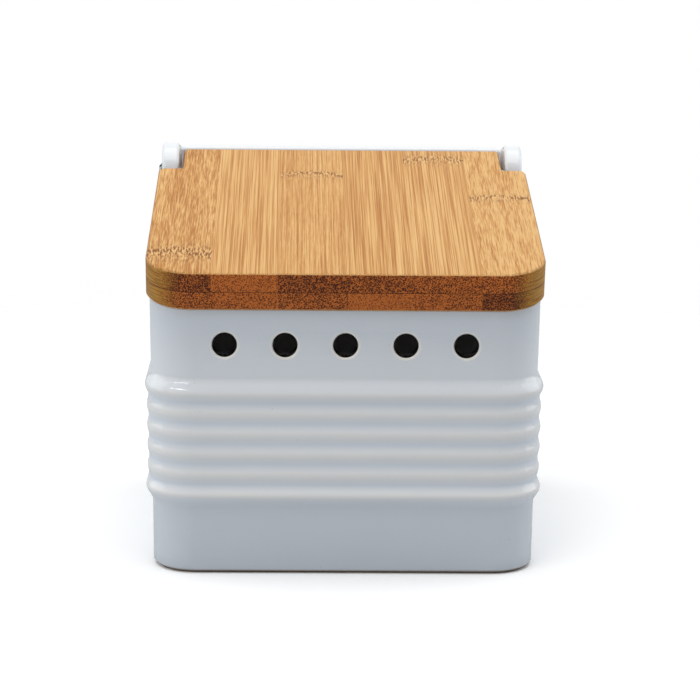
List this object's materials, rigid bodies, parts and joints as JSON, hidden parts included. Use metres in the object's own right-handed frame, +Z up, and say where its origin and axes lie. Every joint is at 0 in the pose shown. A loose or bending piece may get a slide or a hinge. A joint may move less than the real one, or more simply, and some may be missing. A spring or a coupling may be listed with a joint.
{
  "type": "garlic keeper",
  "caption": "Square glazed stoneware garlic keeper with a slanted rim, a ribbed band, round air holes in front and a hinged bamboo lid.",
  "frame": {"origin": "centre of the foot, on the surface that the keeper stands on", "axes": "+Z up, the front with the air holes faces -Y, +X to the right as seen from the front"},
  "size_m": [0.121, 0.1206, 0.1177],
  "materials": {
    "glaze": "glossy pale glaze",
    "steel": "dark polished steel",
    "bamboo": "oiled carbonised bamboo, satin"
  },
  "bodies": {
    "body": {"ceramic_body": "glaze"},
    "lid": {"hinge_pin": "steel", "lower_stave_1": "bamboo", "lower_stave_2": "bamboo", "lower_stave_3": "bamboo", "lower_stave_4": "bamboo", "lower_stave_5": "bamboo", "lower_stave_6": "bamboo", "upper_stave_1": "bamboo", "upper_stave_2": "bamboo", "upper_stave_3": "bamboo", "upper_stave_4": "bamboo", "upper_stave_5": "bamboo", "upper_stave_6": "bamboo"}
  },
  "joints": [
    {"name": "lid_hinge", "type": "hinge", "parent": "body", "child": "lid", "pos_m": [0, 0.04245, 0.10813], "axis": [-1, 0, 0], "range_deg": [0, 120]}
  ]
}
